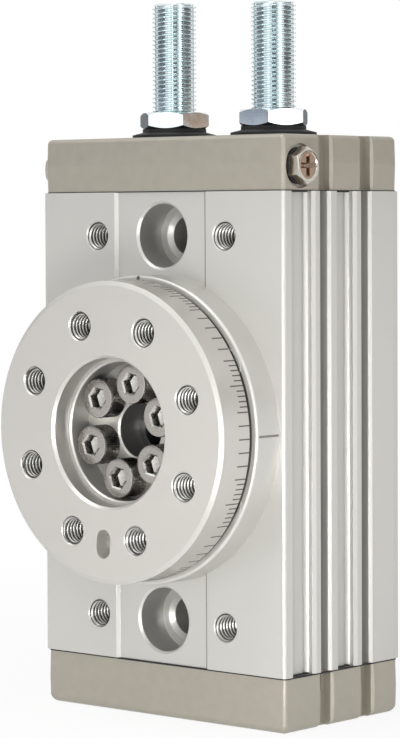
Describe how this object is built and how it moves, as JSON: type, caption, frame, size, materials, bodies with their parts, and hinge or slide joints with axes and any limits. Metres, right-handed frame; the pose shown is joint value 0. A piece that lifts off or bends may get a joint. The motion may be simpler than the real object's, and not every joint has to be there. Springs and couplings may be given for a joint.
{
  "type": "pneumatic rotary table",
  "caption": "Rack-and-pinion pneumatic rotary table with a bearing-carried flange, hollow shaft, two adjustment bolts with lock nuts, and switch grooves on both sides.",
  "frame": {"origin": "where the table's axis meets the rear mounting face", "axes": "+Z along the body towards the adjustment bolts, -Y the way the table faces, +X to its right as seen from the front"},
  "size_m": [0.074, 0.057, 0.1575],
  "materials": {
    "clear_anodised": "satin clear anodised",
    "anodised_table": "turned and satin clear anodised",
    "cast_grey": "fine-grained die casting in warm grey",
    "nickel_screw": "dark nickel plated",
    "zinc_steel": "bright zinc plated",
    "plug_nickel": "nickel plated",
    "bearing_steel": "ground",
    "ball_steel": "polished",
    "shaft_steel": "machined and nitrided",
    "piston_steel": "machined and nitrided",
    "plate_aluminium": "milled",
    "black_rubber": "matt",
    "wear_resin": "matt",
    "magnet_grey": "sintered"
  },
  "bodies": {
    "housing": {"body": "clear_anodised", "top_cover": "cast_grey", "end_cover": "cast_grey", "channel_plate": "plate_aluminium", "channel_seal": "black_rubber", "end_gasket": "black_rubber", "top_cover_screws": "zinc_steel", "end_cover_screws": "zinc_steel", "side_port_plugs": "plug_nickel", "plug_gaskets": "black_rubber", "seal_washers": "black_rubber", "end_pads": "black_rubber", "bearing_retainer": "clear_anodised", "retainer_screws": "nickel_screw", "front_bearing_outer_ring": "bearing_steel", "rear_bearing_outer_ring": "bearing_steel"},
    "rotating_table": {"table": "anodised_table", "table_screws": "nickel_screw", "table_dowel": "bearing_steel", "pinion": "shaft_steel", "front_bearing_inner_ring": "bearing_steel", "rear_bearing_inner_ring": "bearing_steel"},
    "front_ball_set": {"front_bearing_balls": "ball_steel"},
    "rear_ball_set": {"rear_bearing_balls": "ball_steel"},
    "right_piston": {"right_rack_piston": "piston_steel", "right_piston_seals": "black_rubber", "right_wear_rings": "wear_resin", "right_magnet": "magnet_grey"},
    "right_bolt": {"right_adjust_bolt": "zinc_steel", "right_bolt_pad": "black_rubber"},
    "right_nut": {"right_lock_nut": "zinc_steel"},
    "left_piston": {"left_rack_piston": "piston_steel", "left_piston_seals": "black_rubber", "left_wear_rings": "wear_resin", "left_magnet": "magnet_grey"},
    "left_bolt": {"left_adjust_bolt": "zinc_steel", "left_bolt_pad": "black_rubber"},
    "left_nut": {"left_lock_nut": "zinc_steel"}
  },
  "joints": [
    {"name": "table_turn", "type": "hinge", "parent": "housing", "child": "rotating_table", "pos_m": [0, 0, 0], "axis": [0, -1, 0], "range_deg": [-91.9, 98.1]},
    {"name": "right_piston_slide", "type": "slide", "parent": "housing", "child": "right_piston", "axis": [0, 0, 1], "range_m": [-0.01405, 0.01499]},
    {"name": "left_piston_slide", "type": "slide", "parent": "housing", "child": "left_piston", "axis": [0, 0, 1], "range_m": [-0.01499, 0.01405]},
    {"name": "front_ball_orbit", "type": "hinge", "parent": "housing", "child": "front_ball_set", "pos_m": [0, -0.0395, 0], "axis": [0, -1, 0], "range_deg": [-41.72, 44.54]},
    {"name": "rear_ball_orbit", "type": "hinge", "parent": "housing", "child": "rear_ball_set", "pos_m": [0, -0.006, 0], "axis": [0, -1, 0], "range_deg": [-39.28, 41.93]},
    {"name": "right_bolt_adjust", "type": "slide", "parent": "housing", "child": "right_bolt", "axis": [0, 0, -1], "range_m": [-0.003, 0.0145]},
    {"name": "right_nut_back_off", "type": "slide", "parent": "housing", "child": "right_nut", "axis": [0, 0, 1], "range_m": [0, 0.006]},
    {"name": "left_bolt_adjust", "type": "slide", "parent": "housing", "child": "left_bolt", "axis": [0, 0, -1], "range_m": [-0.003, 0.0145]},
    {"name": "left_nut_back_off", "type": "slide", "parent": "housing", "child": "left_nut", "axis": [0, 0, 1], "range_m": [0, 0.006]}
  ],
  "couplings": [
    {"joint": "right_piston_slide", "follows": "table_turn", "m_per_rad": 0.00875},
    {"joint": "left_piston_slide", "follows": "table_turn", "m_per_rad": -0.00875},
    {"joint": "front_ball_orbit", "follows": "table_turn", "ratio": 0.4539},
    {"joint": "rear_ball_orbit", "follows": "table_turn", "ratio": 0.42731}
  ]
}
